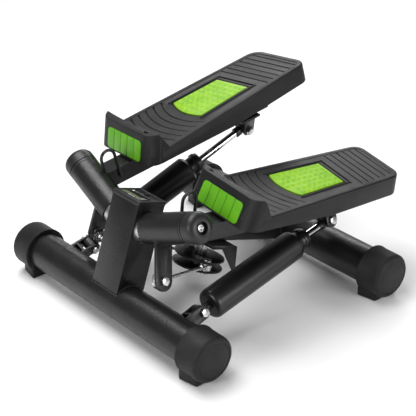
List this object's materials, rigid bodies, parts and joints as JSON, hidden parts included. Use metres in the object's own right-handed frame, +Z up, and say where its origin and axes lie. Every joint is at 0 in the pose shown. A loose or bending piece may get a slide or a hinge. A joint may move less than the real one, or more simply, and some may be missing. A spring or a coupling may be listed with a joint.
{
  "type": "stepper",
  "caption": "Twisting hydraulic mini stepper: swinging footplates on inclined sleeves, damper cylinders, coupling rocker, round tube base on rubber feet, small console.",
  "frame": {"origin": "on the floor under the middle of the object's box, on its left-right mid plane", "axes": "+Z up, -Y towards the upright and console, +Y towards the heels, +X towards the right-hand pedal, which is the lower one at rest"},
  "size_m": [0.48, 0.4812, 0.3031],
  "materials": {
    "black_steel": "satin black powder coat",
    "foot_rubber": "matt black rubber",
    "black_plastic": "satin black moulded plastic",
    "footplate_plastic": "fine grained black moulded plastic",
    "tread_green": "lime green rubber with small raised bumps",
    "toe_green": "lime green moulded plastic",
    "bush_plastic": "natural nylon",
    "bare_steel": "turned steel",
    "zinc": "zinc plated",
    "chrome": "hard chromed",
    "display": "grey green liquid crystal display"
  },
  "bodies": {
    "base": {"front_tube": "black_steel", "rear_tube": "black_steel", "upright_post": "black_steel", "central_beam": "black_steel", "console_housing": "black_plastic", "console_lens": "display", "step_sensor": "black_plastic", "rocker_bracket": "black_steel", "rocker_bolt": "zinc", "cap_screws": "zinc", "lower_pivot_bolts": "zinc", "front_right_foot": "foot_rubber", "rear_right_foot": "foot_rubber", "right_axle": "bare_steel", "right_end_cap": "black_plastic", "right_cylinder_bracket": "black_steel", "front_left_foot": "foot_rubber", "rear_left_foot": "foot_rubber", "left_axle": "bare_steel", "left_end_cap": "black_plastic", "left_cylinder_bracket": "black_steel"},
    "right_pedal": {"right_sleeve": "black_steel", "right_sleeve_bushes": "bush_plastic", "right_lever": "black_steel", "right_lever_bolt": "zinc", "right_pedal_arm": "black_steel", "right_footplate": "footplate_plastic", "right_footplate_screws": "zinc", "right_tread_insert": "tread_green", "right_toe_insert": "toe_green", "right_band_loop": "black_steel", "right_rod_bracket": "black_steel", "right_upper_pivot_bolt": "zinc"},
    "right_cylinder": {"right_cylinder_tube": "black_steel", "right_cylinder_gland": "black_steel"},
    "right_rod": {"right_piston_rod": "chrome", "right_rod_eye": "black_steel"},
    "right_tie_rod": {"right_tie_rod": "zinc"},
    "left_pedal": {"left_sleeve": "black_steel", "left_sleeve_bushes": "bush_plastic", "left_lever": "black_steel", "left_lever_bolt": "zinc", "left_pedal_arm": "black_steel", "left_footplate": "footplate_plastic", "left_footplate_screws": "zinc", "left_tread_insert": "tread_green", "left_toe_insert": "toe_green", "left_band_loop": "black_steel", "left_rod_bracket": "black_steel", "left_upper_pivot_bolt": "zinc"},
    "left_cylinder": {"left_cylinder_tube": "black_steel", "left_cylinder_gland": "black_steel"},
    "left_rod": {"left_piston_rod": "chrome", "left_rod_eye": "black_steel"},
    "left_tie_rod": {"left_tie_rod": "zinc"},
    "rocker": {"rocker": "black_steel", "rocker_pins": "zinc"},
    "mode_button": {"mode_button": "black_plastic"}
  },
  "joints": [
    {"name": "right_pedal", "type": "hinge", "parent": "base", "child": "right_pedal", "pos_m": [0, -0.16491, 0.14466], "axis": [0.928, 0.0665, 0.3665], "range_deg": [0, 18.8]},
    {"name": "left_pedal", "type": "hinge", "parent": "base", "child": "left_pedal", "pos_m": [0, -0.16491, 0.14466], "axis": [0.928, -0.0665, -0.3665], "range_deg": [-19, 0.2]},
    {"name": "right_cylinder", "type": "hinge", "parent": "base", "child": "right_cylinder", "pos_m": [0.134, -0.1474, 0.055], "axis": [0.9259, -0.025, 0.377], "range_deg": [-0.3, 17.26]},
    {"name": "right_rod", "type": "slide", "parent": "right_cylinder", "child": "right_rod", "axis": [-0.0444, 0.9837, 0.1743], "range_m": [-0.0005, 0.04285]},
    {"name": "left_cylinder", "type": "hinge", "parent": "base", "child": "left_cylinder", "pos_m": [-0.134, -0.1474, 0.055], "axis": [0.9259, 0.025, -0.377], "range_deg": [-16.89, 0.3]},
    {"name": "left_rod", "type": "slide", "parent": "left_cylinder", "child": "left_rod", "axis": [0.1509, 0.8904, 0.4295], "range_m": [-0.04231, 0.0005]},
    {"name": "rocker", "type": "hinge", "parent": "base", "child": "rocker", "pos_m": [0, -0.03448, 0.04374], "axis": [0, 0.3223, 0.9466], "range_deg": [-0.3, 42.23]},
    {"name": "right_tie_rod", "type": "hinge", "parent": "rocker", "child": "right_tie_rod", "pos_m": [0.03172, -0.04607, 0.04769], "axis": [0.0311, 0.2379, 0.9708], "range_deg": [-43.05, 0.3]},
    {"name": "left_tie_rod", "type": "hinge", "parent": "rocker", "child": "left_tie_rod", "pos_m": [-0.03172, -0.02288, 0.03979], "axis": [-0.0493, 0.3188, 0.9465], "range_deg": [-41.78, 0.3]},
    {"name": "mode_button", "type": "slide", "parent": "base", "child": "mode_button", "axis": [0, -0.3223, -0.9466], "range_m": [0, 0.0012], "stiffness_N_per_m": 600}
  ],
  "couplings": [
    {"joint": "left_pedal", "follows": "right_pedal", "ratio": -1},
    {"joint": "right_cylinder", "follows": "right_pedal", "ratio": 0.90201},
    {"joint": "right_rod", "follows": "right_pedal", "m_per_rad": 0.12908},
    {"joint": "left_cylinder", "follows": "right_pedal", "ratio": -0.88218},
    {"joint": "left_rod", "follows": "right_pedal", "m_per_rad": -0.12744},
    {"joint": "rocker", "follows": "right_pedal", "ratio": 2.2301},
    {"joint": "right_tie_rod", "follows": "right_pedal", "ratio": -2.2741},
    {"joint": "left_tie_rod", "follows": "right_pedal", "ratio": -2.2066}
  ]
}
